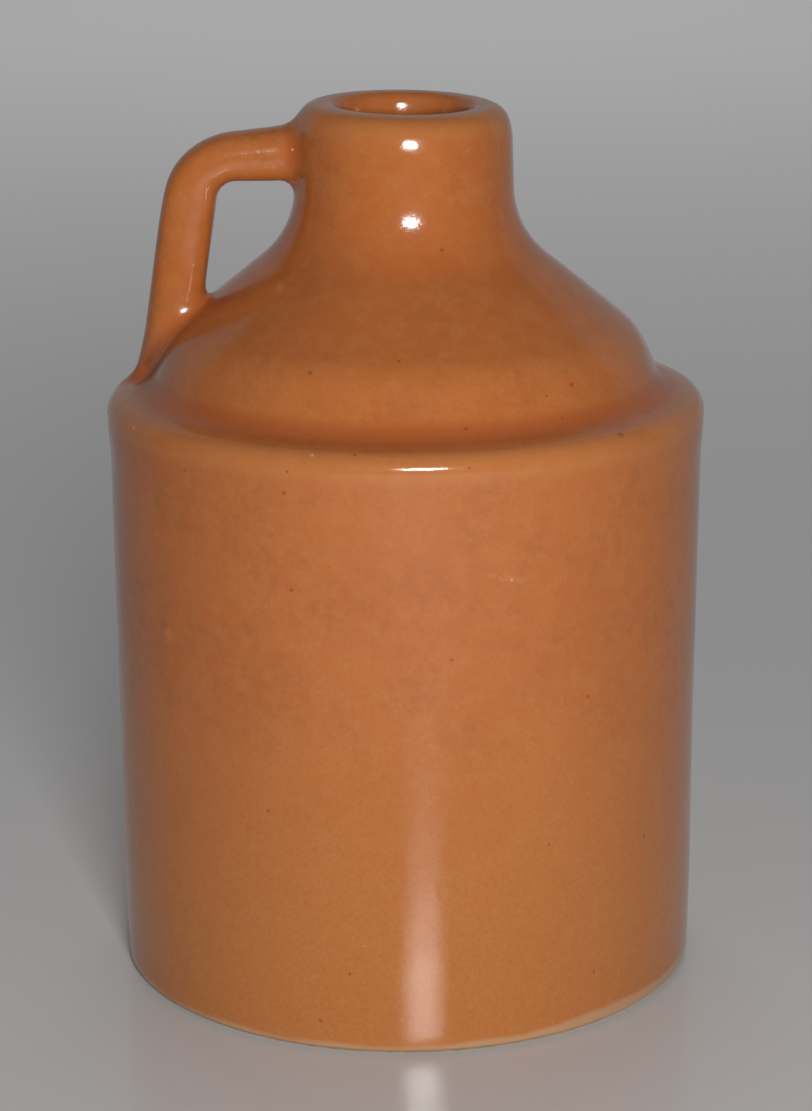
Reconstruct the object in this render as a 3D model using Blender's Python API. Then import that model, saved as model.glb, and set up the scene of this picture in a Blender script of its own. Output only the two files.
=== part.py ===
"""A small glazed stoneware jug: a thrown body with a collar at its shoulder, a narrow neck, an open mouth
and one pulled loop handle. Metres, +Z up, origin on the axis at the foot, handle towards -X."""

import math

import bmesh
import bpy

MM = 0.001

# Overall sizes of the jug
HEIGHT = 100.0 * MM
COLLAR_RADIUS = 33.9 * MM
FOOT_RADIUS = 33.0 * MM
FOOT_ROUND = 0.9 * MM

# The neck and its lip
BORE_RADIUS = 7.15 * MM
LIP_INNER_ROUND = 2.1 * MM
LIP_OUTER_ROUND = 2.55 * MM
NECK_TOP_SLOPE = math.radians(79.5)
NECK_TOP_LENGTH = 3.0 * MM
NECK_BULGE = 8.0 * MM
NECK_SLOPE = math.radians(88.5)
NECK_LENGTH = 3.5 * MM
NECK_SWEEP = 9.96 * MM

# The sloping shoulder, which steepens and runs through a cove into the collar's ledge
SHOULDER_SLOPE = math.radians(38.9)
SHOULDER_ROUND = 9.0 * MM
SHOULDER_STEEP = math.radians(66.5)
STEEP_LENGTH = 2.35 * MM
COVE_ROUND = 4.05 * MM
LEDGE_SLOPE = math.radians(14.4)
LEDGE_WIDTH = 1.3 * MM
COLLAR_ROUND = 2.1 * MM

# The wall's slight flare up into the collar
FLARE_LENGTH = 6.0 * MM
FLARE_DEPTH = 0.3 * MM

# The hollow inside
FLOOR_THICKNESS = 5.0 * MM
CAVITY_RADIUS = 29.3 * MM
CAVITY_CORNER = 7.0 * MM
CAVITY_SHOULDER = 9.0 * MM
CAVITY_SHOULDER_Z = 58.5 * MM
CAVITY_NECK_ROUND = 5.0 * MM

# The handle: a strap, thick away from the jug and a little wider across it
HANDLE_TOP_Z = 94.45 * MM
HANDLE_START = 9.6 * MM
HANDLE_TURN_AT = 18.8 * MM
HANDLE_BEND = 5.3 * MM
HANDLE_LEAN = math.radians(8.6)
HANDLE_FOOT_Z = 66.7 * MM
HANDLE_HALF_THICKNESS = 3.05 * MM
HANDLE_HALF_WIDTH = 3.0 * MM
HANDLE_SPREAD = 0.5 * MM
HANDLE_SPREAD_Z = 75.5 * MM
HANDLE_SPREAD_REACH = 4.0 * MM
HANDLE_TAIL = 8.5 * MM
HANDLE_TAIL_HALF_THICKNESS = 1.1 * MM
HANDLE_TAIL_HALF_WIDTH = 1.0 * MM
HANDLE_TAIL_SWING = 3.9 * MM
HANDLE_TAIL_OUT = 0.6 * MM
HANDLE_FILLET = 1.3 * MM
NECK_RADIUS = 11.9 * MM
SECTION_POWER = 2.6

# How finely round shapes are cut into facets
TURNS = 64
ARC_STEP = math.radians(15.0)
SECTION_POINTS = 20
STRAP_STEP = 1.6 * MM


class Pen:
    """Walks an outline in a plane: across is the distance from the axis, up is the height."""

    def __init__(self, across, up, heading):
        self.heading = heading
        self.points = [(across, up)]

    @property
    def across(self):
        return self.points[-1][0]

    @property
    def up(self):
        return self.points[-1][1]

    def line(self, length):
        self.points.append((self.across + length * math.cos(self.heading),
                            self.up + length * math.sin(self.heading)))

    def arc(self, radius, turn, step=ARC_STEP):
        """A round stretch: turn is its angle, to the left when positive."""
        count = max(2, math.ceil(abs(turn) / step))
        part = turn / count
        chord = 2.0 * radius * math.sin(abs(part) / 2.0)
        for _ in range(count):
            self.heading += part / 2.0
            self.line(chord)
            self.heading += part / 2.0

    def turn_to(self, radius, heading, step=ARC_STEP):
        self.arc(radius, heading - self.heading, step)

    def line_to_across(self, across):
        self.line((across - self.across) / math.cos(self.heading))

    def line_to_up(self, up):
        self.line((up - self.up) / math.sin(self.heading))


UP = math.radians(90.0)
DOWN = math.radians(-90.0)
OUTWARD = 0.0
INWARD = math.radians(-180.0)


def draw_inside():
    """The inside of the jug, from the middle of its floor up to the top of the lip."""
    pen = Pen(0.0, FLOOR_THICKNESS, OUTWARD)
    pen.line_to_across(CAVITY_RADIUS - CAVITY_CORNER)
    pen.turn_to(CAVITY_CORNER, UP)
    pen.line_to_up(CAVITY_SHOULDER_Z)
    slope = math.pi - SHOULDER_SLOPE
    pen.turn_to(CAVITY_SHOULDER, slope)
    sweep_width = CAVITY_NECK_ROUND * (1.0 - math.cos(slope - UP))
    pen.line_to_across(BORE_RADIUS + sweep_width)
    pen.turn_to(CAVITY_NECK_ROUND, UP)
    pen.line_to_up(HEIGHT - LIP_INNER_ROUND)
    pen.turn_to(LIP_INNER_ROUND, OUTWARD)
    return pen


def draw_shoulder(pen, slope_length):
    """The outer side from the top of the lip to the widest line of the collar."""
    pen.turn_to(LIP_OUTER_ROUND, -NECK_TOP_SLOPE)
    pen.line(NECK_TOP_LENGTH)
    pen.turn_to(NECK_BULGE, -NECK_SLOPE)
    pen.line(NECK_LENGTH)
    pen.turn_to(NECK_SWEEP, -SHOULDER_SLOPE, math.radians(10.0))
    pen.line(slope_length)
    pen.turn_to(SHOULDER_ROUND, -SHOULDER_STEEP, math.radians(7.0))
    pen.line(STEEP_LENGTH)
    pen.turn_to(COVE_ROUND, -LEDGE_SLOPE, math.radians(11.0))
    pen.line(LEDGE_WIDTH)
    pen.turn_to(COLLAR_ROUND, DOWN, math.radians(16.0))


def turned_profile():
    """The jug's whole section, out from the axis over the lip and back to the axis under the foot."""
    trial = Pen(draw_inside().across, HEIGHT, OUTWARD)
    draw_shoulder(trial, 0.0)
    slope_length = (COLLAR_RADIUS - trial.across) / math.cos(SHOULDER_SLOPE)
    pen = draw_inside()
    draw_shoulder(pen, slope_length)

    flare_turn = 2.0 * math.atan(FLARE_DEPTH / FLARE_LENGTH)
    flare_radius = FLARE_LENGTH / 2.0 / math.sin(flare_turn)
    pen.arc(flare_radius, -flare_turn, math.radians(3.0))
    pen.arc(flare_radius, flare_turn, math.radians(3.0))
    wall_top = pen.up
    lean = math.atan((pen.across - FOOT_RADIUS) / (wall_top - FOOT_ROUND))
    pen.heading = DOWN - lean
    pen.line_to_up(FOOT_ROUND)
    pen.turn_to(FOOT_ROUND, INWARD, math.radians(30.0))
    outline = pen.points[:-1]
    foot_edge = pen.across
    return outline + [(foot_edge, 0.0), (0.0, 0.0)]


def turn_body():
    """The hollow body, its profile turned about Z."""
    mesh = bpy.data.meshes.new("jug")
    bm = bmesh.new()
    verts = [bm.verts.new((across, 0.0, up)) for across, up in turned_profile()]
    for first, second in zip(verts, verts[1:]):
        bm.edges.new((first, second))
    bm.to_mesh(mesh)
    bm.free()
    body = bpy.data.objects.new("jug", mesh)
    bpy.context.collection.objects.link(body)
    screw = body.modifiers.new("turn", "SCREW")
    screw.axis = "Z"
    screw.steps = TURNS
    screw.render_steps = TURNS
    screw.use_merge_vertices = True
    screw.merge_threshold = 0.01 * MM
    screw.use_smooth_shade = True
    return body


def handle_path():
    """The strap's centre line, seen with the jug's axis at the left: out, round the bend and down."""
    pen = Pen(HANDLE_START, HANDLE_TOP_Z, OUTWARD)
    pen.line_to_across(HANDLE_TURN_AT)
    pen.turn_to(HANDLE_BEND, DOWN + HANDLE_LEAN, math.radians(14.0))
    pen.line_to_up(HANDLE_FOOT_Z)
    return pen.points


def even_stations(points, step):
    """Stations at even steps along a path, each with its place, its direction and its distance."""
    lengths = [0.0]
    for (a, b), (c, d) in zip(points, points[1:]):
        lengths.append(lengths[-1] + math.hypot(c - a, d - b))
    total = lengths[-1]
    count = math.ceil(total / step)
    stations = []
    for index in range(count + 1):
        along = total * index / count
        leg = min(max(i for i, length in enumerate(lengths) if length <= along + 1e-9), len(points) - 2)
        (a, b), (c, d) = points[leg], points[leg + 1]
        share = (along - lengths[leg]) / (lengths[leg + 1] - lengths[leg])
        stations.append((a + (c - a) * share, b + (d - b) * share, along))
    return stations, total


def strap_shape(across, up, along, total):
    """At one station: half the thickness, half the width, the shift outward and the swing towards +Y.

    The strap swells where it meets the neck, spreads where it is pressed on the shoulder, and ends
    in a tail that narrows to a point and swings a little to the back."""
    near_neck = max(0.0, 1.0 - max(0.0, across - NECK_RADIUS) / (2.0 * HANDLE_FILLET))
    swell = HANDLE_FILLET * near_neck ** 2
    spread = HANDLE_SPREAD * math.exp(-((up - HANDLE_SPREAD_Z) / HANDLE_SPREAD_REACH) ** 2)
    tail = min(1.0, max(0.0, 1.0 - (total - along) / HANDLE_TAIL))
    thin = (HANDLE_HALF_THICKNESS - HANDLE_TAIL_HALF_THICKNESS) * tail
    narrow = (HANDLE_HALF_WIDTH - HANDLE_TAIL_HALF_WIDTH) * tail
    half_thickness = HANDLE_HALF_THICKNESS + 0.7 * swell - thin
    half_width = HANDLE_HALF_WIDTH + swell + spread * (1.0 - tail) - narrow
    shift = thin + HANDLE_TAIL_OUT * tail
    return half_thickness, half_width, shift, HANDLE_TAIL_SWING * tail ** 1.2


def strap_section(half_thickness, half_width):
    """A rounded strap section: a superellipse, thickness first, width second."""
    power = 2.0 / SECTION_POWER
    for index in range(SECTION_POINTS):
        angle = 2.0 * math.pi * index / SECTION_POINTS
        c, s = math.cos(angle), math.sin(angle)
        yield (half_thickness * math.copysign(abs(c) ** power, c),
               half_width * math.copysign(abs(s) ** power, s))


def make_handle():
    """The loop handle as a solid strap, its ends inside the neck's wall and the shoulder's wall."""
    stations, total = even_stations(handle_path(), STRAP_STEP)
    bm = bmesh.new()
    rings = []
    for index, (across, up, along) in enumerate(stations):
        before = stations[max(0, index - 1)]
        after = stations[min(len(stations) - 1, index + 1)]
        heading = math.atan2(after[1] - before[1], after[0] - before[0])
        out_x, out_z = -math.sin(heading), math.cos(heading)
        half_thickness, half_width, shift, swing = strap_shape(across, up, along, total)
        ring = []
        for thick, wide in strap_section(half_thickness, half_width):
            offset = thick + shift
            ring.append(bm.verts.new((-(across + out_x * offset), wide + swing, up + out_z * offset)))
        rings.append(ring)
    for first, second in zip(rings, rings[1:]):
        for index in range(SECTION_POINTS):
            after = (index + 1) % SECTION_POINTS
            bm.faces.new((first[index], first[after], second[after], second[index]))
    bm.faces.new(rings[0])
    bm.faces.new(rings[-1])
    bmesh.ops.recalc_face_normals(bm, faces=bm.faces)
    mesh = bpy.data.meshes.new("handle_strap")
    bm.to_mesh(mesh)
    bm.free()
    mesh.shade_smooth()
    strap = bpy.data.objects.new("handle_strap", mesh)
    bpy.context.collection.objects.link(strap)
    strap.hide_render = True
    strap.display_type = "WIRE"
    return strap


def fuse(body, strap):
    """Body and handle are one piece of fired clay."""
    union = body.modifiers.new("fuse_handle", "BOOLEAN")
    union.operation = "UNION"
    union.solver = "EXACT"
    union.object = strap


def glaze_material():
    """A warm orange tan glaze."""
    material = bpy.data.materials.new("tan_glaze")
    material.use_nodes = True
    shader = material.node_tree.nodes["Principled BSDF"]
    shader.inputs["Base Color"].default_value = (0.42, 0.15, 0.045, 1.0)
    shader.inputs["Roughness"].default_value = 0.2
    shader.inputs["Metallic"].default_value = 0.0
    return material


def main():
    for leftover in list(bpy.data.objects):
        bpy.data.objects.remove(leftover, do_unlink=True)
    body = turn_body()
    body.data.materials.append(glaze_material())
    fuse(body, make_handle())


main()
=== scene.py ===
# %% [markdown]
# # A small stoneware jug
# The real thing is a miniature jug of fired clay: a turned body with a collar at its shoulder, a narrow
# neck with a rounded open mouth, and one loop handle, all under an orange tan glaze. It was shaped in
# one piece of clay, so here it is one mesh too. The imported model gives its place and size; this file
# gives it its soft edges, its joins and its glaze.

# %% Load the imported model
import math

import bmesh
import bpy
import numpy as np
from mathutils import Matrix, Vector


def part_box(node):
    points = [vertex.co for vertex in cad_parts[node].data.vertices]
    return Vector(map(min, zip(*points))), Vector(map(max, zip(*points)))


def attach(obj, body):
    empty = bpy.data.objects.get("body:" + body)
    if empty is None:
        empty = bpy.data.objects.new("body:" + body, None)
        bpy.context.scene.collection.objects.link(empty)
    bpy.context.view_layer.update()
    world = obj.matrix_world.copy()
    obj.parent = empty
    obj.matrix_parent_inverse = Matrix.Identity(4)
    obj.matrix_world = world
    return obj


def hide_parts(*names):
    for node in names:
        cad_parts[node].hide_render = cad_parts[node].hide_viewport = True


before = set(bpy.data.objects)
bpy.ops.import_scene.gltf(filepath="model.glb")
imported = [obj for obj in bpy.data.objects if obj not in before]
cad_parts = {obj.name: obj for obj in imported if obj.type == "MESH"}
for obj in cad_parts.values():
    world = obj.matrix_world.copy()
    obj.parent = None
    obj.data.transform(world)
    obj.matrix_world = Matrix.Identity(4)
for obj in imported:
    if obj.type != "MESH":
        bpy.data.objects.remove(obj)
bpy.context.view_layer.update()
MM = 0.001
LOW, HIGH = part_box("jug")
HEIGHT = HIGH.z - LOW.z
print("the packed jug is", [round(side / MM, 2) for side in HIGH - LOW], "mm")

# %% [markdown]
# ## Camera
# The jug was photographed from a little above its top, close by, with a long lens. A camera could be
# turned by hand until it looks right. It is worked out instead: a point on the axis to aim at, how far
# away and how steeply the camera looks down, and how wide the picture is at that distance.

# %% Camera
AIM_HEIGHT = 0.4758 * HEIGHT
CAMERA_DISTANCE = 3.915 * HEIGHT
CAMERA_PITCH = math.radians(16.4)
CAMERA_ROLL = math.radians(-0.26)
SENSOR = 36.0
LENS = 109.87

camera_data = bpy.data.cameras.new("camera")
camera_data.sensor_fit = "VERTICAL"
camera_data.sensor_height = SENSOR
camera_data.lens = LENS
camera = bpy.data.objects.new("camera", camera_data)
bpy.context.collection.objects.link(camera)
camera.location = (0.0, -CAMERA_DISTANCE * math.cos(CAMERA_PITCH),
                   AIM_HEIGHT + CAMERA_DISTANCE * math.sin(CAMERA_PITCH))
tip = Matrix.Rotation(math.radians(90.0) - CAMERA_PITCH, 3, "X")
roll = Matrix.Rotation(CAMERA_ROLL, 3, "Z")
camera.rotation_euler = (tip @ roll).to_euler()
bpy.context.scene.camera = camera
print("the camera stands", round(camera.location.z / MM), "mm above the floor")

# %% [markdown]
# ## Colour and light
# A small bright lamp beside the lens lights the jug from the front, so its sides fall away into shade
# and every round edge carries a short white highlight. A photograph of a room wrapped round the scene
# could do the rest, but it would bring its own colours. Here a grey surrounding fills the shade, a lamp
# behind lights the floor, and a pale card far back gives the glaze something to mirror along its edges.
# The standard view keeps a surface's own colour as it is.

# %% Colour management
bpy.context.scene.view_settings.view_transform = "Standard"
bpy.context.scene.view_settings.look = "None"


# %% Surroundings
ROOM_GREY = 0.1

world = bpy.data.worlds.new("room")
world.use_nodes = True
world.node_tree.nodes["Background"].inputs["Color"].default_value = (ROOM_GREY, ROOM_GREY, ROOM_GREY, 1.0)
bpy.context.scene.world = world
print("the room is", ROOM_GREY, "bright all round")


# %% Lamps
def soft_lamp(name, place, target, width, height, watts):
    """A flat rectangular lamp at a place, turned to face a target."""
    data = bpy.data.lights.new(name, "AREA")
    data.shape = "RECTANGLE"
    data.size = width
    data.size_y = height
    data.energy = watts
    lamp = bpy.data.objects.new(name, data)
    bpy.context.collection.objects.link(lamp)
    lamp.location = place
    lamp.rotation_euler = (Vector(target) - Vector(place)).to_track_quat("-Z", "Y").to_euler()
    return lamp


KEY_AT = (42.0 * MM, -380.0 * MM, 160.0 * MM)
KEY_AIM = (0.0, 0.0, 60.0 * MM)
key_lamp = soft_lamp("key_lamp", KEY_AT, KEY_AIM, 76.0 * MM, 42.0 * MM, 1.18)

FLOOR_LAMP_AT = (0.0, 900.0 * MM, 700.0 * MM)
FLOOR_LAMP_AIM = (0.0, 900.0 * MM, 0.0)
floor_lamp = soft_lamp("floor_lamp", FLOOR_LAMP_AT, FLOOR_LAMP_AIM, 900.0 * MM, 500.0 * MM, 3.9)
floor_lamp.visible_glossy = False

CARD_AT = (0.0, 1100.0 * MM, 600.0 * MM)
CARD_AIM = (0.0, 0.0, 600.0 * MM)
card = soft_lamp("pale_card", CARD_AT, CARD_AIM, 5000.0 * MM, 1200.0 * MM, 3.5)
card.visible_camera = False
for lamp in (key_lamp, floor_lamp, card):
    print(lamp.name, "gives", round(lamp.data.energy, 2), "W")

# %% [markdown]
# ## Floor
# The jug stands on a plain pale satin sheet. It is one large flat square, and it isn't part of the jug.
# It is a little glossy, as the real one was, because the lamp's glare on it shows again as a soft
# streak low on the jug.

# %% Floor
FLOOR_REACH = 3.0
FLOOR_GREY = 0.62
floor_mesh = bpy.data.meshes.new("floor")
corners = [(-FLOOR_REACH, -FLOOR_REACH, 0.0), (FLOOR_REACH, -FLOOR_REACH, 0.0),
           (FLOOR_REACH, FLOOR_REACH, 0.0), (-FLOOR_REACH, FLOOR_REACH, 0.0)]
floor_mesh.from_pydata(corners, [], [(0, 1, 2, 3)])
floor = bpy.data.objects.new("floor", floor_mesh)
bpy.context.collection.objects.link(floor)
sheet = bpy.data.materials.new("pale_sheet")
sheet.use_nodes = True
sheet_shader = sheet.node_tree.nodes["Principled BSDF"]
sheet_shader.inputs["Base Color"].default_value = (FLOOR_GREY, FLOOR_GREY, FLOOR_GREY, 1.0)
sheet_shader.inputs["Roughness"].default_value = 0.14
sheet_shader.inputs["Specular IOR Level"].default_value = 0.35
floor_mesh.materials.append(sheet)
print("the floor is", 2.0 * FLOOR_REACH, "m wide")

# %% [markdown]
# ## A profile as a walk
# A potter's profile is easy to describe to someone walking it: go straight, bend left, bend right. Its
# points could be typed in as a list, but a list says nothing about what is round and what is straight.
# Here each leg of the walk is a length and a turn. The heading grows evenly along the leg, so the leg is
# an arc whose radius is its length over its turn, or a straight line where the turn is nought.


# %% The walk
def line(length):
    """A straight leg: its length and no turn."""
    return (length, 0.0)


def arc(radius, degrees):
    """A bend, to the left when the degrees are positive: its length is the radius times the turn."""
    turn = math.radians(degrees)
    return (radius * abs(turn), turn)


def walk(start, heading, legs, step=0.02 * MM):
    """Points and bends along a walk. A point is the start plus the running sum of step times
    (cosine, sine) of the heading; the bend there is the leg's turn over its length."""
    lengths, turns = np.array(legs).T
    ends = np.concatenate([[0.0], np.cumsum(lengths)])
    headings = math.radians(heading) + np.concatenate([[0.0], np.cumsum(turns)])
    count = math.ceil(ends[-1] / step)
    hop = ends[-1] / count
    middles = (np.arange(count) + 0.5) * hop
    direction = np.interp(middles, ends, headings)
    across = start[0] + hop * np.concatenate([[0.0], np.cumsum(np.cos(direction))])
    up = start[1] + hop * np.concatenate([[0.0], np.cumsum(np.sin(direction))])
    leg = np.clip(np.searchsorted(ends, np.arange(count + 1) * hop, side="right") - 1, 0, len(legs) - 1)
    return np.column_stack([across, up]), (turns / lengths)[leg]


# %% [markdown]
# ## The inside
# The jug is empty and open, so its hollow is part of its shape: a flat floor, an upright wall, a shoulder
# and a narrow throat that opens a little before the lip rolls over. A Solidify modifier could thicken a
# single skin, but the real hollow doesn't copy every bend of the outside. So it is walked on its own. Not
# much of it shows, but the light that gets into the mouth has to fade the way it does in a real jug.

# %% Legs of the inside
FLOOR_THICKNESS = 5.0 * MM
CAVITY_RADIUS = 29.3 * MM
CAVITY_CORNER = 7.0 * MM
CAVITY_SHOULDER = 9.0 * MM
CAVITY_SHOULDER_UP = 58.5 * MM
THROAT_ROUND = 5.0 * MM
THROAT_RADIUS = 7.15 * MM
FLARE_ROUND = 7.0 * MM
FLARE_TURN = 12.0
LIP_INNER_ROUND = 1.3 * MM
SLOPE = 38.9

steep = 90.0 - SLOPE
pull_in = 1.0 - math.cos(math.radians(steep))
rise = math.sin(math.radians(steep))
ceiling = CAVITY_RADIUS - THROAT_RADIUS - (CAVITY_SHOULDER + THROAT_ROUND) * pull_in
ceiling = ceiling / math.cos(math.radians(SLOPE))
throat_foot = CAVITY_SHOULDER_UP + (CAVITY_SHOULDER + THROAT_ROUND) * rise
throat_foot = throat_foot + ceiling * math.sin(math.radians(SLOPE))
mouth_legs = [arc(FLARE_ROUND, -FLARE_TURN), arc(LIP_INNER_ROUND, FLARE_TURN - 90.0)]
mouth, _ = walk((THROAT_RADIUS, 0.0), 90.0, mouth_legs)
lip_top = (mouth[-1, 0], HEIGHT)
inside = [line(CAVITY_RADIUS - CAVITY_CORNER), arc(CAVITY_CORNER, 90.0),
          line(CAVITY_SHOULDER_UP - FLOOR_THICKNESS - CAVITY_CORNER), arc(CAVITY_SHOULDER, steep),
          line(ceiling), arc(THROAT_ROUND, -steep), line(HEIGHT - mouth[-1, 1] - throat_foot)] + mouth_legs
print("the throat starts", round(throat_foot / MM, 1), "mm up")

# %% [markdown]
# ## The outside
# From the top of the lip the outline rolls over, bulges a little down the neck, sweeps out into the dome,
# steepens, and runs through a cove onto the ledge of the collar. Below the collar the wall flares in
# slightly and runs almost straight down to the foot. The dome's straight stretch is what is left over:
# a trial walk without it says how far short of the collar it ends.

# %% Legs of the outside
COLLAR_RADIUS = HIGH.x
LIP_OUT_AT = 9.6 * MM
LIP_OUTER_ROUND = 2.3 * MM
LIP_SIDE_SLOPE = 62.0
LIP_SIDE_ROUND = 3.6 * MM
NECK_TOP_SLOPE = 77.0
NECK_BULGE = 9.5 * MM
NECK_SLOPE = 88.5
NECK_LENGTH = 5.4 * MM
NECK_SWEEP = 10.46 * MM
SHOULDER_ROUND = 9.0 * MM
SHOULDER_STEEP = 66.5
STEEP_LENGTH = 2.35 * MM
COVE_ROUND = 4.05 * MM
LEDGE_SLOPE = 14.4
LEDGE_WIDTH = 1.3 * MM
COLLAR_ROUND = 2.1 * MM

above = [line(LIP_OUT_AT - lip_top[0]), arc(LIP_OUTER_ROUND, -LIP_SIDE_SLOPE),
         arc(LIP_SIDE_ROUND, LIP_SIDE_SLOPE - NECK_TOP_SLOPE),
         arc(NECK_BULGE, NECK_TOP_SLOPE - NECK_SLOPE), line(NECK_LENGTH),
         arc(NECK_SWEEP, NECK_SLOPE - SLOPE)]
below = [arc(SHOULDER_ROUND, SLOPE - SHOULDER_STEEP), line(STEEP_LENGTH),
         arc(COVE_ROUND, SHOULDER_STEEP - LEDGE_SLOPE), line(LEDGE_WIDTH),
         arc(COLLAR_ROUND, LEDGE_SLOPE - 90.0)]
trial, _ = walk(lip_top, 0.0, above + below)
dome = (COLLAR_RADIUS - trial[-1, 0]) / math.cos(math.radians(SLOPE))
collar_up = trial[-1, 1] - dome * math.sin(math.radians(SLOPE))
print("the dome is straight for", round(dome / MM, 2), "mm")
print("the collar is", round(collar_up / MM, 1), "mm up")

# %% Legs of the wall and foot
FOOT_RADIUS = 33.0 * MM
FOOT_ROUND = 0.5 * MM
FLARE_LENGTH = 6.0 * MM
FLARE_DEPTH = 0.3 * MM

flare = math.degrees(2.0 * math.atan(FLARE_DEPTH / FLARE_LENGTH))
flare_radius = FLARE_LENGTH / 2.0 / math.sin(math.radians(flare))
wall_run = collar_up - FLARE_LENGTH - FOOT_ROUND
lean = math.degrees(math.atan((COLLAR_RADIUS - FLARE_DEPTH - FOOT_RADIUS) / wall_run))
outside = above + [line(dome)] + below + [arc(flare_radius, -flare), arc(flare_radius, flare - lean),
                                          line(wall_run / math.cos(math.radians(lean))),
                                          arc(FOOT_ROUND, lean - 90.0)]
profile, bend = walk((0.0, FLOOR_THICKNESS), 0.0, inside + outside)
outer, outer_bend = walk(lip_top, 0.0, outside)
UNDER_POINTS = 1200
under = np.column_stack([np.linspace(profile[-1, 0], 0.0, UNDER_POINTS), np.zeros(UNDER_POINTS)])
profile = np.vstack([profile, under[1:]])
bend = np.concatenate([bend, np.zeros(len(under) - 1)])
print("the wall leans", round(lean, 2), "degrees and the outline is", len(profile), "points long")

# %% [markdown]
# ## Rows and columns where they are needed
# A turned surface is a grid: rows along the profile and columns round the axis. Even spacing would waste
# most of them on the plain wall. A density says how many rows a millimetre needs, more where the profile
# bends and where the handle meets the jug, and the rows are placed at even steps of its running sum. The
# columns are placed the same way.


# %% Spacing by density
def spread(position, density):
    """Even steps of the running sum of density: close together where density is high."""
    hops = np.diff(position) * 0.5 * (density[1:] + density[:-1])
    total = np.concatenate([[0.0], np.cumsum(hops)])
    count = round(total[-1])
    return np.interp(np.arange(count + 1) * total[-1] / count, total, position)


def bump(value, middle, reach):
    """A soft bump of height one: e to the power of minus the square of the distance over the reach."""
    return np.exp(-((value - middle) / reach) ** 2)


PIMPLE_UP = 45.1 * MM
PIMPLE_ROUND = math.radians(37.9)
JOIN_UP = 66.6 * MM
JOIN_HALF = math.radians(33.0)

travelled = np.concatenate([[0.0], np.cumsum(np.hypot(*np.diff(profile, axis=0).T))])
is_outer = travelled > sum(length for length, _ in inside)
rows_wanted = 1.0 / (1.9 * MM) + np.abs(bend) / 0.2
rows_wanted = rows_wanted + (is_outer & (profile[:, 1] > JOIN_UP)) / (0.42 * MM)
rows_wanted = rows_wanted + is_outer * bump(profile[:, 1], PIMPLE_UP, 1.1 * MM) / (0.25 * MM)
row_at = spread(travelled, rows_wanted)
rows = np.column_stack([np.interp(row_at, travelled, profile[:, 0]),
                        np.interp(row_at, travelled, profile[:, 1])])

angle = np.linspace(-math.pi, math.pi, 3601)
columns_wanted = 1.0 / math.radians(2.4) + 1.0 / math.radians(1.0) / (1.0 + (angle / JOIN_HALF) ** 10)
columns_wanted = columns_wanted + bump(angle, PIMPLE_ROUND, math.radians(2.2)) / math.radians(0.6)
columns = spread(angle, columns_wanted)[:-1]
print("the body has", len(rows), "rows and", len(columns), "columns")


# %% [markdown]
# ## The turned body
# Every point of the body is a profile point carried round the axis. The angle is counted from the
# handle's side, so the two surfaces that meet there are easy to compare. A Spin or Screw tool could turn
# the profile, but then the columns would all be equally wide. The two ends of the profile lie on the
# axis, and each becomes a single point with a fan of triangles round it.


# %% Grid to mesh
def closed_tube(grid, first_pole, last_pole):
    """Vertices and faces of rings of points, joined ring to ring, with a fan to a pole at each end."""
    count, around = grid.shape[:2]
    points = np.vstack([grid.reshape(-1, 3), [first_pole], [last_pole]])
    row, column = np.meshgrid(np.arange(count - 1), np.arange(around), indexing="ij")
    here = row * around + column
    beside = row * around + (column + 1) % around
    quads = np.stack([here, beside, beside + around, here + around], axis=-1).reshape(-1, 4)
    ring = np.arange(around)
    after = (ring + 1) % around
    start, end = count * around, count * around + 1
    last = (count - 1) * around
    fans = np.vstack([np.column_stack([np.full(around, start), after, ring]),
                      np.column_stack([np.full(around, end), last + ring, last + after])])
    return points, quads.tolist() + fans.tolist()


def make_mesh(name, points, faces):
    """A mesh object whose faces point outwards: turned round if its volume comes out negative."""
    mesh = bpy.data.meshes.new(name)
    mesh.from_pydata(points.tolist(), [], faces)
    bm = bmesh.new()
    bm.from_mesh(mesh)
    volume = bm.calc_volume(signed=True)
    if volume < 0.0:
        bmesh.ops.reverse_faces(bm, faces=bm.faces)
        bm.to_mesh(mesh)
    bm.free()
    mesh.shade_smooth()
    piece = bpy.data.objects.new(name, mesh)
    bpy.context.collection.objects.link(piece)
    print(name, "has", len(points), "points and", round(abs(volume) / MM ** 3 / 1000.0, 2), "ml of clay")
    return piece


# %% Turn the body
def turned(outline, turns):
    """Point (row, column) is (-across cos angle, -across sin angle, up)."""
    across, up = outline[:, 0, None], outline[:, 1, None]
    return np.stack([-across * np.cos(turns), -across * np.sin(turns), up + 0.0 * turns], axis=-1)


body_grid = turned(rows[1:-1], columns)
body_points, body_faces = closed_tube(body_grid, (0.0, 0.0, FLOOR_THICKNESS), (0.0, 0.0, 0.0))

# %% [markdown]
# ## The handle
# The handle is a pulled strap of clay, about as thick as it is wide. It leaves the neck level, turns down
# in a tight bend and runs to the shoulder, where it is pressed on and smoothed out into a thin tail that
# swings a little to the back. A bevelled curve could draw it, but its section changes on the way, so it is
# a grid: a rounded section carried along the walk of its middle line.

# %% The handle's middle line
HANDLE_TOP = 94.45 * MM
HANDLE_START = 9.6 * MM
HANDLE_TURN_AT = 18.8 * MM
HANDLE_BEND = 5.3 * MM
HANDLE_LEAN = 8.6
HANDLE_END = 66.7 * MM

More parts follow.
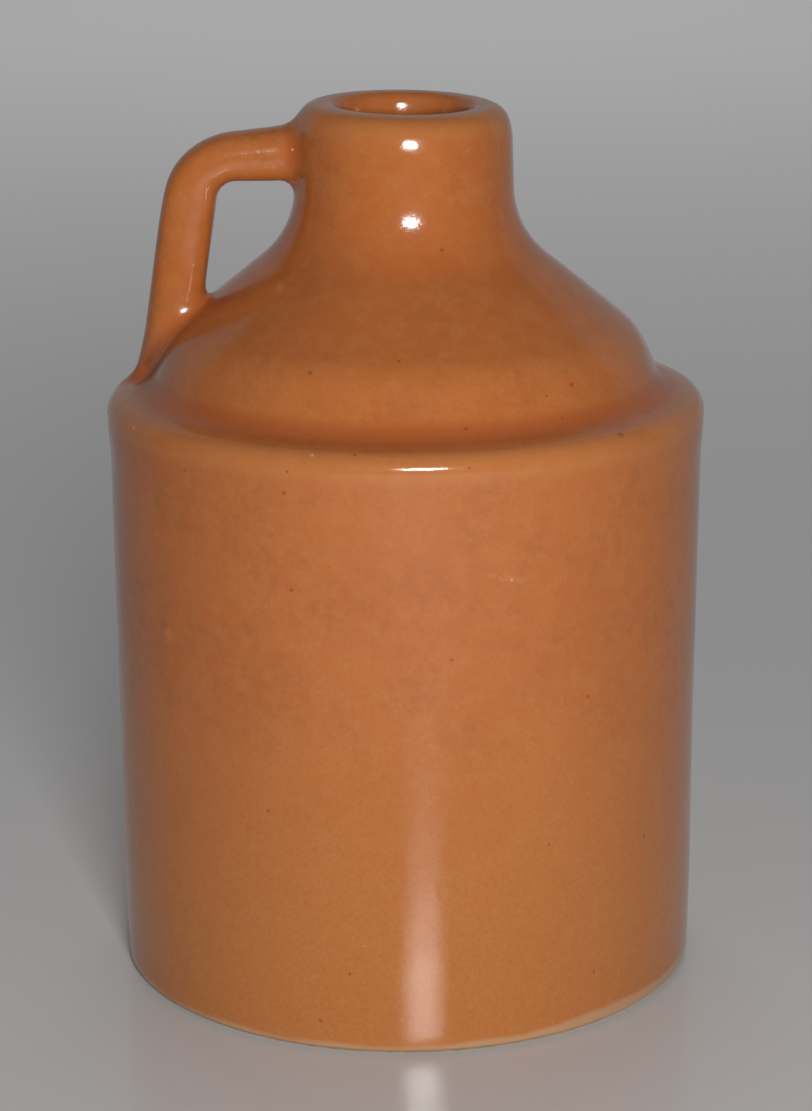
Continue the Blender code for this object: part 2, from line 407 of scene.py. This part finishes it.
bend_drop = HANDLE_BEND * (1.0 - math.cos(math.radians(90.0 - HANDLE_LEAN)))
drop = (HANDLE_TOP - bend_drop - HANDLE_END) / math.cos(math.radians(HANDLE_LEAN))
handle_line, handle_bend = walk((HANDLE_START, HANDLE_TOP), 0.0,
                                [line(HANDLE_TURN_AT - HANDLE_START), arc(HANDLE_BEND, HANDLE_LEAN - 90.0),
                                 line(drop)])
handle_along = np.concatenate([[0.0], np.cumsum(np.hypot(*np.diff(handle_line, axis=0).T))])
handle_length = handle_along[-1]
print("the handle is", round(handle_length / MM, 1), "mm long along its middle")

# %% How the strap's section changes
HALF_THICK = 3.05 * MM
HALF_WIDE = 3.0 * MM
SPREAD_MORE = 0.5 * MM
SPREAD_UP = 75.5 * MM
SPREAD_REACH = 4.0 * MM
TAIL = 8.5 * MM
TAIL_HALF_THICK = 1.1 * MM
TAIL_HALF_WIDE = 1.0 * MM
TAIL_SWING = 3.9 * MM
TAIL_OUT = 0.6 * MM
BEND_PULL = 0.36 * MM
BEND_PULL_ALONG = 11.2 * MM
BEND_PULL_REACH = 5.0 * MM
SWING_POWER = 1.2
ROUNDNESS = 2.5


def strap_at(along, up):
    """Half thickness, half width, shift outward and swing to the back at a distance along the strap.
    The tail's share s rises from nought to one over its length as s s (3 - 2 s), which starts and ends
    level, and the outer face is pulled in by a soft bump at the bend."""
    share = np.clip(1.0 - (handle_length - along) / TAIL, 0.0, 1.0)
    share = share * share * (3.0 - 2.0 * share)
    pull = BEND_PULL * bump(along, BEND_PULL_ALONG, BEND_PULL_REACH)
    half_thick = HALF_THICK - (HALF_THICK - TAIL_HALF_THICK) * share
    shift = HALF_THICK - half_thick + TAIL_OUT * share - pull
    half_thick = half_thick - pull
    half_wide = HALF_WIDE + SPREAD_MORE * bump(up, SPREAD_UP, SPREAD_REACH) * (1.0 - share)
    half_wide = half_wide - (HALF_WIDE - TAIL_HALF_WIDE) * share
    return half_thick, half_wide, shift, TAIL_SWING * share ** SWING_POWER


# %% Sweep the strap
STATIONS = 110
ROUND_STRAP = 64
station = np.linspace(0.0, handle_length, STATIONS)
out = np.interp(station, handle_along, handle_line[:, 0])
up = np.interp(station, handle_along, handle_line[:, 1])
slope_out = np.gradient(out, station)
slope_up = np.gradient(up, station)
size = np.hypot(slope_out, slope_up)
normal_out, normal_up = -slope_up / size, slope_out / size
half_thick, half_wide, shift, swing = strap_at(station, up)
turn = np.linspace(0.0, 2.0 * math.pi, ROUND_STRAP, endpoint=False)
thick = np.sign(np.cos(turn)) * np.abs(np.cos(turn)) ** (2.0 / ROUNDNESS)
wide = np.sign(np.sin(turn)) * np.abs(np.sin(turn)) ** (2.0 / ROUNDNESS)
offset = half_thick[:, None] * thick + shift[:, None]
strap_grid = np.stack([-(out[:, None] + normal_out[:, None] * offset),
                       half_wide[:, None] * wide + swing[:, None],
                       up[:, None] + normal_up[:, None] * offset], axis=-1)
strap_points, strap_faces = closed_tube(strap_grid, strap_grid[0].mean(axis=0), strap_grid[-1].mean(axis=0))
print("the strap has", len(strap_points), "points")

# %% [markdown]
# ## Joining them like clay
# Where the handle meets the jug, wet clay was smeared into a soft fillet. A Boolean union alone leaves a
# knife-sharp crease there, and a bevel on a curved crease tends to tear. So both surfaces are described
# by how far a point is from them, and the two distances are blended: the smooth minimum of a and b is
# min(a, b) - k h h / 4, where h is (k - |a - b|) / k, or nought. Where it is nought lies the joined skin.


# %% Distance to the turned body
def nearest_on(path, point):
    """For each point, the index along a dense path of its nearest point, searched in blocks of points."""
    found = np.empty(len(point), dtype=int)
    for first in range(0, len(point), 4000):
        block = point[first:first + 4000]
        gap = (block[:, None, 0] - path[None, :, 0]) ** 2 + (block[:, None, 1] - path[None, :, 1]) ** 2
        found[first:first + 4000] = gap.argmin(axis=1)
    return found


def signed_gap(path, point):
    """How far each point is to the left of a dense path, and how far along the path it lies."""
    nearest = nearest_on(path, point)
    before = path[np.maximum(nearest - 1, 0)]
    after = path[np.minimum(nearest + 1, len(path) - 1)]
    along = after - before
    along = along / np.linalg.norm(along, axis=1, keepdims=True)
    away = point - path[nearest]
    ahead = (away * along).sum(axis=1)
    left = along[:, 0] * away[:, 1] - along[:, 1] * away[:, 0]
    return left, nearest, ahead


COARSER = 8
outer_path = outer[::COARSER]
outer_path = outer_path[outer_path[:, 1] > 62.0 * MM]


def body_distance(points):
    """How far outside the turned surface a point is."""
    plane = np.column_stack([np.hypot(points[:, 0], points[:, 1]), points[:, 2]])
    return signed_gap(outer_path, plane)[0]


# %% Distance to the strap
strap_path = handle_line[::COARSER]
strap_path_along = handle_along[::COARSER]


def strap_distance(points):
    """How far outside the strap a point is: the section's value g, one on its surface, less one, over
    the steepness of g, where g to the power p is |t / a| to the p plus |w / b| to the p."""
    plane = np.column_stack([-points[:, 0], points[:, 2]])
    left, nearest, ahead = signed_gap(strap_path, plane)
    along = strap_path_along[nearest] + ahead
    a, b, moved, swung = strap_at(along, points[:, 2])
    t = np.abs(left - moved) / a
    w = np.abs(points[:, 1] - swung) / b
    g = np.maximum((t ** ROUNDNESS + w ** ROUNDNESS) ** (1.0 / ROUNDNESS), 0.2)
    steepness = g ** (1.0 - ROUNDNESS) * np.hypot(t ** (ROUNDNESS - 1.0) / a, w ** (ROUNDNESS - 1.0) / b)
    return (g - 1.0) / np.maximum(steepness, 1.0)


# %% The joined skin
NECK_SMEAR = 2.0 * MM
GAP_SMEAR = 1.8 * MM
TAIL_SMEAR = 2.5 * MM


def smear_at(points):
    """The blend's reach k, which changes slowly from the tail through the gap to the neck."""
    return np.interp(points[:, 2], (70.0 * MM, 76.0 * MM, 84.0 * MM), (TAIL_SMEAR, GAP_SMEAR, NECK_SMEAR))


def joined(points):
    """The smooth minimum of the two distances, nought on the joined skin."""
    a, b, k = body_distance(points), strap_distance(points), smear_at(points)
    h = np.maximum(k - np.abs(a - b), 0.0) / k
    return np.minimum(a, b) - k * h * h / 4.0


def grid_normals(grid):
    """Unit normals of a wrapped grid, from the cross product of its two directions."""
    along = np.gradient(grid, axis=0)
    around = (np.roll(grid, -1, axis=1) - np.roll(grid, 1, axis=1)) / 2.0
    normal = np.cross(around, along)
    return normal / np.maximum(np.linalg.norm(normal, axis=2, keepdims=True), 1e-12)


def swell(points, normals):
    """Moves points out along their normals until they lie on the joined skin, a quarter of k at most."""
    moved = points.copy()
    limit = smear_at(points) * 0.25
    lift = np.zeros(len(points))
    for _ in range(8):
        lift = np.clip(lift - joined(moved), 0.0, limit)
        moved = points + normals * lift[:, None]
    return moved, lift


# %% Swell both surfaces towards the joined skin
HANDLE_SIDE = -9.5 * MM
body_normals = grid_normals(body_grid).reshape(-1, 3)
outward = np.sign((body_normals * body_grid.reshape(-1, 3))[:, :2].sum(axis=1))
near = np.abs(strap_distance(body_points[:-2])) < 3.5 * MM
near = near & (body_points[:-2, 0] < HANDLE_SIDE) & (body_points[:-2, 2] > 66.0 * MM)
near = near & (body_distance(body_points[:-2]) > -0.05 * MM)
moved, lift = swell(body_points[:-2][near], body_normals[near] * outward[near, None])
body_points[:-2][near] = moved
print("the body swells by up to", round(lift.max() / MM, 2), "mm at", int(near.sum()), "points")

strap_normals = grid_normals(strap_grid).reshape(-1, 3)
middle = strap_grid.mean(axis=1, keepdims=True)
facing = np.sign((strap_normals.reshape(strap_grid.shape) * (strap_grid - middle)).sum(axis=2)).reshape(-1)
moved, lift = swell(strap_points[:-2], strap_normals * facing[:, None])
strap_points[:-2] = moved
print("the strap swells by up to", round(lift.max() / MM, 2), "mm")

# %% Unite them
jug = make_mesh("stoneware_jug", body_points, body_faces)
strap = make_mesh("strap", strap_points, strap_faces)
union = jug.modifiers.new("unite", "BOOLEAN")
union.operation = "UNION"
union.solver = "EXACT"
union.object = strap
bpy.context.view_layer.objects.active = jug
jug.select_set(True)
bpy.ops.object.modifier_apply(modifier="unite")
bpy.data.objects.remove(strap, do_unlink=True)
print("united:", len(jug.data.vertices), "points")


# %% [markdown]
# ## Smoothing the join
# The union cuts through the two grids and leaves thin slivers along the cut. Points closer together than
# a few hundredths of a millimetre are welded, and then every point near the join is drawn onto the
# joined skin: it moves by the skin's value over the square of its slope, down the slope, a few times.


# %% Weld and draw onto the skin
def read_points(piece):
    """The piece's points as one array, a row for each."""
    points = np.empty(len(piece.data.vertices) * 3)
    piece.data.vertices.foreach_get("co", points)
    return points.reshape(-1, 3)


def write_points(piece, points):
    """Puts an array of points back into the piece."""
    piece.data.vertices.foreach_set("co", points.reshape(-1))
    piece.data.update()


def near_join(points, reach):
    """Points close to both surfaces at once, on the jug's outside."""
    chosen = (points[:, 0] < HANDLE_SIDE) & (points[:, 2] > 65.8 * MM)
    where = np.flatnonzero(chosen)
    a, b = body_distance(points[where]), strap_distance(points[where])
    close = (np.abs(a) < reach) & (np.abs(b) < reach)
    return where[close]


WELD = 0.09 * MM
bm = bmesh.new()
bm.from_mesh(jug.data)
bm.verts.ensure_lookup_table()
seam = near_join(read_points(jug), 1.2 * MM)
before = len(bm.verts)
bmesh.ops.remove_doubles(bm, verts=[bm.verts[i] for i in seam], dist=WELD)
bmesh.ops.dissolve_degenerate(bm, edges=bm.edges, dist=0.001 * MM)
print("welded away", before - len(bm.verts), "points")
bm.to_mesh(jug.data)
bm.free()

points = read_points(jug)
seam = near_join(points, 2.0 * MM)
TINY = 0.002 * MM
for _ in range(3):
    here = points[seam]
    value = joined(here)
    slope = np.column_stack([(joined(here + TINY * axis) - value) / TINY for axis in np.eye(3)])
    step = value / np.maximum((slope ** 2).sum(axis=1), 0.25)
    points[seam] = here - slope * np.clip(step, -0.2 * MM, 0.2 * MM)[:, None]
write_points(jug, points)
print("drew", len(seam), "points onto the joined skin, now within",
      round(np.abs(joined(points[seam])).max() / MM, 4), "mm")

# %% [markdown]
# ## The maker's hand
# Nothing that was shaped by hand is a perfect turning. The mouth dips slightly to one side, the collar
# stands a little higher in front than behind, the wall is a little fuller low down, and the whole skin
# wanders by a few hundredths of a millimetre. One smooth function of place moves every point, so nothing
# can tear.

# %% Uneven
LIP_TILT = -0.019
COLLAR_TILT = -0.022
FULLER = 0.2 * MM
WANDER = 0.05 * MM


def uneven(points):
    """Adds a sideways tilt that grows from nought at the neck's foot to full at the lip, a tilt to the
    front that is full at the collar, a radial bump low on the wall and a slow radial wave."""
    x, y, z = points.T
    across = np.hypot(x, y)
    outer_wall = np.clip((across - 31.0 * MM) / (1.5 * MM), 0.0, 1.0)
    round_axis = np.arctan2(y, x)
    radial = outer_wall * FULLER * bump(z, 9.0 * MM, 13.0 * MM)
    wave = np.sin(2.0 * round_axis + z / (19.0 * MM))
    wave = wave + 0.6 * np.sin(3.0 * round_axis - z / (11.0 * MM) + 1.3)
    radial = radial + WANDER * wave * np.clip(across / (12.0 * MM), 0.0, 1.0)
    at_lip = np.clip((z - 86.0 * MM) / (10.0 * MM), 0.0, 1.0)
    at_lip = at_lip * np.clip((15.0 * MM - across) / (3.0 * MM), 0.0, 1.0)
    at_collar = np.interp(z, (46.0 * MM, 62.0 * MM, 73.0 * MM, 86.0 * MM), (0.0, 1.0, 1.0, 0.0))
    tilt = LIP_TILT * x * at_lip + COLLAR_TILT * y * at_collar
    scale = 1.0 + radial / np.maximum(across, 6.0 * MM)
    return np.column_stack([x * scale, y * scale, z + tilt])


points = uneven(read_points(jug))
print("moved by up to", round(np.linalg.norm(points - read_points(jug), axis=1).max() / MM, 2), "mm")


# %% [markdown]
# ## A pimple under the glaze
# On the left of the wall a grain of grit stands up under the glaze as a small round pimple. The grid is
# closer there, so it can be real relief: the surface is pushed out by a soft bump.

# %% Pimple
PIMPLE_HEIGHT = 0.28 * MM
PIMPLE_REACH = 0.72 * MM
PIMPLE_ACROSS = 33.3 * MM
pimple = np.array([-PIMPLE_ACROSS * math.cos(PIMPLE_ROUND), -PIMPLE_ACROSS * math.sin(PIMPLE_ROUND),
                   PIMPLE_UP])
away = np.linalg.norm(points - pimple, axis=1)
outward = np.column_stack([points[:, :2] / np.maximum(np.hypot(*points[:, :2].T), MM)[:, None],
                           np.zeros(len(points))])
points = points + outward * (PIMPLE_HEIGHT * bump(away, 0.0, PIMPLE_REACH))[:, None]
write_points(jug, points)
print("the pimple stands", round(PIMPLE_HEIGHT / MM, 2), "mm proud")

# %% [markdown]
# ## How thick the glaze lies, and painted shade in its hollows
# Liquid glaze gathers in hollows and thins over edges, and this one turns deeper and redder where it is
# thick. The same deeper colour is also painted shade, in the cove under the dome and in the creases where
# the handle joins. Thickness could be painted by hand. It follows from the shape instead: the outline's
# bend, smoothed over the reach of a drop, is positive in a hollow and negative over an edge, and the
# handle's smeared joins are hollows too. It is kept on the mesh as an attribute for the material to read.

# %% Measure the hollows
DROP = 0.8 * MM
FULL_BEND = 300.0

hop = 0.02 * MM
window = bump(np.arange(-3.0 * DROP, 3.0 * DROP, hop), 0.0, DROP)
padded_bend = np.pad(outer_bend, len(window) // 2, mode="edge")
soft_bend = np.convolve(padded_bend, window / window.sum(), mode="same")
soft_bend = soft_bend[len(window) // 2:len(window) // 2 + len(outer_bend)]
skin = read_points(jug)
plane = np.column_stack([np.hypot(skin[:, 0], skin[:, 1]), skin[:, 2]])
pooling_and_shade = soft_bend[::COARSER][nearest_on(outer[::COARSER], plane)] / FULL_BEND
on_handle = strap_distance(skin) < 0.5 * body_distance(skin)
pooling_and_shade[on_handle & (skin[:, 0] < -9.0 * MM)] = 0.0
seam = near_join(skin, 3.0 * MM)
reach = smear_at(skin[seam])
apart = np.abs(body_distance(skin[seam]) - strap_distance(skin[seam]))
# The handle's joins get the deepest colour: partly pooled glaze, partly painted shade in the crease.
pooling_and_shade[seam] += 1.1 * np.maximum(1.0 - apart / reach, 0.0)
pooling_and_shade = np.clip(pooling_and_shade, -1.0, 1.0)
layer = jug.data.attributes.new("pooling_and_shade", "FLOAT", "POINT")
layer.data.foreach_set("value", pooling_and_shade.astype(np.float32))
print("glaze is thick at", int((pooling_and_shade > 0.5).sum()), "points and thin at", int((pooling_and_shade < -0.5).sum()))

# %% [markdown]
# ## The glaze
# The glaze is a warm orange tan, glassy but not perfect. One flat colour would look like plastic. The
# material builds it up: a base colour that clouds slowly, a mottle of a few millimetres, faint smudges on
# the upper half, fine grain, rare dark iron specks and paler flecks, deeper colour where it pooled, which
# in the cove and the handle's joins is also painted shade, and a pale edge at the foot where it was
# wiped off. All of it is worked out from object coordinates and the attribute, so it stays put on the jug.

# %% Node helpers
glaze = bpy.data.materials.new("tan_glaze")
glaze.use_nodes = True
tree = glaze.node_tree
shader = tree.nodes["Principled BSDF"]
place = tree.nodes.new("ShaderNodeTexCoord").outputs["Object"]


def node(kind, **inputs):
    """A new node with some inputs set or linked, by name."""
    made = tree.nodes.new(kind)
    for name, value in inputs.items():
        socket = made.inputs[name.replace("_", " ")]
        if isinstance(value, bpy.types.NodeSocket):
            tree.links.new(value, socket)
        else:
            socket.default_value = value
    return made


def noise(scale, detail=2.0, roughness=0.5):
    """Noise whose blotches are about one over scale metres across."""
    made = node("ShaderNodeTexNoise", Vector=place, Scale=scale, Detail=detail, Roughness=roughness)
    return made.outputs["Fac"]


def ramp(value, low, high, to_low=0.0, to_high=1.0):
    """Maps low..high to to_low..to_high, smoothly and without going past the ends."""
    made = node("ShaderNodeMapRange", Value=value)
    made.interpolation_type = "SMOOTHSTEP"
    made.inputs["From Min"].default_value = low
    made.inputs["From Max"].default_value = high
    made.inputs["To Min"].default_value = to_low
    made.inputs["To Max"].default_value = to_high
    return made.outputs["Result"]


def math_node(operation, first, second=0.0):
    """The result of one sum on two numbers or sockets."""
    made = tree.nodes.new("ShaderNodeMath")
    made.operation = operation
    for socket, value in zip(made.inputs, (first, second)):
        if isinstance(value, bpy.types.NodeSocket):
            tree.links.new(value, socket)
        else:
            socket.default_value = value
    return made.outputs["Value"]


def mixed(share, first, second):
    """One colour turning into another as share goes from nought to one."""
    made = tree.nodes.new("ShaderNodeMix")
    made.data_type = "RGBA"
    for name, value in (("Factor_Float", share), ("A_Color", first), ("B_Color", second)):
        socket = next(s for s in made.inputs if s.identifier == name)
        if isinstance(value, bpy.types.NodeSocket):
            tree.links.new(value, socket)
        elif name == "Factor_Float":
            socket.default_value = value
        else:
            socket.default_value = (*value, 1.0)
    return next(s for s in made.outputs if s.identifier == "Result_Color")


# %% Colours of the glaze
TAN = (0.475, 0.146, 0.037)
WARM = (0.43, 0.115, 0.025)
PALE = (0.50, 0.185, 0.056)
GOLDEN = (0.485, 0.186, 0.044)
# A deep red: pooled glaze, and also the painted shade in the cove and the handle's joins.
POOLED_AND_SHADED = (0.42, 0.098, 0.021)
SMUDGE = (0.36, 0.118, 0.036)
SPECK = (0.15, 0.045, 0.012)
FLECK = (0.66, 0.36, 0.17)
RUBBED = (0.60, 0.31, 0.15)
CHALK = (0.78, 0.48, 0.26)
PALE_BAND = (0.52, 0.33, 0.19)
BARE = (0.52, 0.37, 0.24)
DUSTY = (0.42, 0.25, 0.12)

axes = node("ShaderNodeSeparateXYZ", Vector=place)
height = axes.outputs["Z"]
cloud = ramp(noise(60.0, 4.0, 0.55), 0.36, 0.66)
smudge_patch = ramp(noise(125.0, 3.0, 0.6), 0.44, 0.6)
smudge = math_node("MULTIPLY", smudge_patch, ramp(noise(800.0, 5.0, 0.7), 0.44, 0.62))
smudge = math_node("MULTIPLY", smudge, ramp(height, 26.0 * MM, 44.0 * MM))
mottle = ramp(noise(420.0, 4.0, 0.65), 0.38, 0.68)
grain = ramp(noise(2600.0, 3.0, 0.6), 0.32, 0.72)
redder = math_node("MULTIPLY", ramp(height, 72.0 * MM, 79.0 * MM), ramp(height, 88.0 * MM, 81.0 * MM))
colour = mixed(math_node("MULTIPLY", cloud, 0.5), TAN, WARM)
colour = mixed(ramp(height, 52.0 * MM, 8.0 * MM, 0.0, 0.7), colour, GOLDEN)
colour = mixed(math_node("MULTIPLY", redder, 0.5), colour, WARM)
colour = mixed(math_node("MULTIPLY", mottle, 0.45), colour, PALE)
colour = mixed(math_node("MULTIPLY", smudge, 0.6), colour, SMUDGE)
colour = mixed(math_node("MULTIPLY", grain, 0.5), colour, WARM)
print("the colour has", len(tree.nodes), "nodes so far")

# %% Pooling and painted shade
hollow = node("ShaderNodeAttribute")
hollow.attribute_name = "pooling_and_shade"
pool_and_shade = hollow.outputs["Fac"]
# Darker, redder colour in hollows: pooled glaze, and painted shade in the cove and at the handle's joins.
colour = mixed(ramp(pool_and_shade, 0.05, 0.9, 0.0, 0.75), colour, POOLED_AND_SHADED)
colour = mixed(ramp(pool_and_shade, -0.1, -1.0, 0.0, 0.5), colour, PALE)
print("pooling reads the attribute", hollow.attribute_name)


# %% Specks
def specks(scale, radius, rarity, seed):
    """Round dots on a random lattice of one over scale metres: a cell has one where its draw passes."""
    moved = node("ShaderNodeVectorMath", Vector=place)
    moved.operation = "ADD"
    moved.inputs[1].default_value = (seed, seed * 0.37, seed * 0.71)
    cells = node("ShaderNodeTexVoronoi", Vector=moved.outputs["Vector"], Scale=scale)
    draw = node("ShaderNodeSeparateColor", Color=cells.outputs["Color"])
    chosen = math_node("GREATER_THAN", draw.outputs["Red"], rarity)
    wide = math_node("MULTIPLY_ADD", draw.outputs["Green"], 0.7)
    wide.node.inputs[2].default_value = 0.5
    edge = math_node("MULTIPLY", wide, radius * scale)
    inside_dot = math_node("DIVIDE", cells.outputs["Distance"], edge)
    return math_node("MULTIPLY", chosen, ramp(inside_dot, 1.0, 0.35))


dark = specks(210.0, 0.24 * MM, 0.93, 3.1)
fine_dark = specks(640.0, 0.12 * MM, 0.8, 7.7)
light = specks(430.0, 0.15 * MM, 0.9, 12.3)
colour = mixed(math_node("MULTIPLY", dark, 0.45), colour, SPECK)
colour = mixed(math_node("MULTIPLY", fine_dark, 0.4), colour, SPECK)
colour = mixed(math_node("MULTIPLY", light, 0.35), colour, FLECK)
print("with three sizes of speck it has", len(tree.nodes))

# %% [markdown]
# ## The marks of this very jug
# Random specks give the right crowd, but the larger ones are particular: each jug has its own. They are
# placed one by one, by angle and height, and carried through the same unevenness as the skin. One short
# leaning scuff is a stretched spot: two distances, along it and across it, each over its own half size.

# %% Single marks
DARK_MARKS = [(67.7, 63.0, 0.30), (45.6, 63.8, 0.24), (68.5, 65.4, 0.22), (68.7, 52.7, 0.26),
              (67.3, 74.5, 0.28), (88.4, 75.9, 0.22), (130.6, 72.3, 0.32), (122.9, 71.6, 0.20),
              (134.5, 67.4, 0.42), (102.7, 69.2, 0.28), (101.4, 66.1, 0.20), (125.4, 69.3, 0.20),
              (107.2, 86.0, 0.24), (142.8, 20.6, 0.30), (117.6, 23.3, 0.22), (128.7, 6.7, 0.26),
              (63.0, 27.4, 0.24), (73.1, 3.6, 0.26), (79.0, 9.5, 0.22), (126.0, 39.5, 0.24),
              (98.3, 45.7, 0.22), (80.7, 67.4, 0.22)]
LIGHT_MARKS = [(27.8, 66.6, 0.26), (72.8, 67.2, 0.24), (109.5, 53.8, 0.20)]
SCUFF_ROUND = math.radians(108.3)
SCUFF_UP = 54.05 * MM
SCUFF_HALF_LONG = 2.9 * MM
SCUFF_HALF_HIGH = 0.42 * MM
SCUFF_LEAN = 0.24


def skin_at(turned_by, up):
    """The place on the uneven skin at an angle from the handle and a height."""
    across = np.interp(up, outer[::-1, 1], outer[::-1, 0])
    return uneven(np.array([[-across * math.cos(turned_by), -across * math.sin(turned_by), up]]))[0]


def spots(marks):
    """One inside any of the marks, fading to nought at their edges."""
    total = 0.0
    for degrees, up, radius in marks:
        away = node("ShaderNodeVectorMath", Vector=place)
        away.operation = "DISTANCE"
        away.inputs[1].default_value = skin_at(math.radians(degrees), up * MM)
        dot = ramp(away.outputs["Value"], 1.25 * radius * MM, 0.2 * radius * MM)
        total = math_node("MAXIMUM", dot, total)
    return total


colour = mixed(math_node("MULTIPLY", spots(DARK_MARKS), 0.6), colour, SPECK)
scuff_offset = node("ShaderNodeVectorMath", Vector=place)
scuff_offset.operation = "SUBTRACT"
scuff_offset.inputs[1].default_value = skin_at(SCUFF_ROUND, SCUFF_UP)
lengthwise = node("ShaderNodeVectorMath", Vector=scuff_offset.outputs["Vector"])
lengthwise.operation = "DOT_PRODUCT"
along = Vector((math.sin(SCUFF_ROUND), -math.cos(SCUFF_ROUND), -SCUFF_LEAN)).normalized()
lengthwise.inputs[1].default_value = along / SCUFF_HALF_LONG
crosswise = node("ShaderNodeVectorMath", Vector=scuff_offset.outputs["Vector"])
crosswise.operation = "DOT_PRODUCT"
crosswise.inputs[1].default_value = (Vector((0.0, 0.0, 1.0)) + along * SCUFF_LEAN) / SCUFF_HALF_HIGH
from_scuff = math_node("ADD", math_node("POWER", math_node("ABSOLUTE", lengthwise.outputs["Value"]), 2.0),
                       math_node("POWER", math_node("ABSOLUTE", crosswise.outputs["Value"]), 2.0))
scuff = math_node("MULTIPLY", ramp(from_scuff, 1.2, 0.2), ramp(noise(1500.0, 3.0), 0.35, 0.6))
colour = mixed(math_node("MULTIPLY", scuff, 0.17), colour, RUBBED)
colour = mixed(math_node("MULTIPLY", spots(LIGHT_MARKS), 0.45), colour, CHALK)
print("marks placed:", len(DARK_MARKS), "dark and", len(LIGHT_MARKS), "light")

# %% [markdown]
# ## The foot
# Glaze would stick a pot to the kiln shelf, so the foot is wiped clean before firing. The clay shows
# there, pale, dry and matt, and just above it runs a pale band, wider on one side than the other.

# %% Bare foot
FOOT_LINE = 0.35 * MM
PALE_BAND_LINE = 1.0 * MM
wavering = math_node("MULTIPLY", math_node("SUBTRACT", noise(90.0, 3.0), 0.5), 1.6 * MM)
to_the_right = ramp(axes.outputs["X"], 0.0, 22.0 * MM, 0.0, 1.0 * MM)
line_up = math_node("SUBTRACT", math_node("ADD", height, wavering), to_the_right)
# A pale band just above the bare clay, reaching higher towards the right.
thin = ramp(line_up, PALE_BAND_LINE + 0.3 * MM, PALE_BAND_LINE - 0.5 * MM)
colour = mixed(math_node("MULTIPLY", thin, 0.65), colour, PALE_BAND)
wiped_up = math_node("ADD", height, math_node("MULTIPLY", wavering, 0.3))
bare = ramp(wiped_up, FOOT_LINE + 0.2 * MM, FOOT_LINE - 0.1 * MM)
colour = mixed(bare, colour, mixed(ramp(noise(700.0, 3.0), 0.3, 0.7), BARE, DUSTY))
print("the clay is bare up to about", round(FOOT_LINE / MM, 2), "mm")

# %% [markdown]
# ## Gloss and orange peel
# The glaze is glossy, a little less so in patches and where it pooled, and the bare foot is matt. Its skin
# isn't flat either: like the peel of an orange it has fine dimples, which fray the edge of every highlight.
# They are far too small to model, so three sizes of noise tilt the shading instead.

# %% Gloss and bump
PEEL_DEPTH = 0.04 * MM
gloss = ramp(noise(140.0, 3.0), 0.3, 0.75, 0.11, 0.18)
rough = math_node("ADD", gloss, math_node("MULTIPLY", bare, 0.55))
rough = math_node("ADD", rough, ramp(pool_and_shade, 0.2, 0.9, 0.0, 0.14))
peel = math_node("ADD", math_node("MULTIPLY", noise(620.0), 0.6), math_node("MULTIPLY", noise(2400.0), 0.24))
peel = math_node("ADD", peel, math_node("MULTIPLY", noise(5600.0), 0.16))
relief = node("ShaderNodeBump", Height=peel, Strength=1.0, Distance=PEEL_DEPTH)

tree.links.new(colour, shader.inputs["Base Color"])
tree.links.new(rough, shader.inputs["Roughness"])
tree.links.new(relief.outputs["Normal"], shader.inputs["Normal"])
shader.inputs["IOR"].default_value = 1.5
jug.data.materials.clear()
jug.data.materials.append(glaze)
print("the glaze has", len(tree.nodes), "nodes")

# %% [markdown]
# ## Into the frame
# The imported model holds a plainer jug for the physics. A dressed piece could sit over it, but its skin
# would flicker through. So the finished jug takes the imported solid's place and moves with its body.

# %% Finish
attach(jug, "root")
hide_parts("jug")
bpy.context.view_layer.update()
print("triangles:", sum(len(face.vertices) - 2 for face in jug.data.polygons))
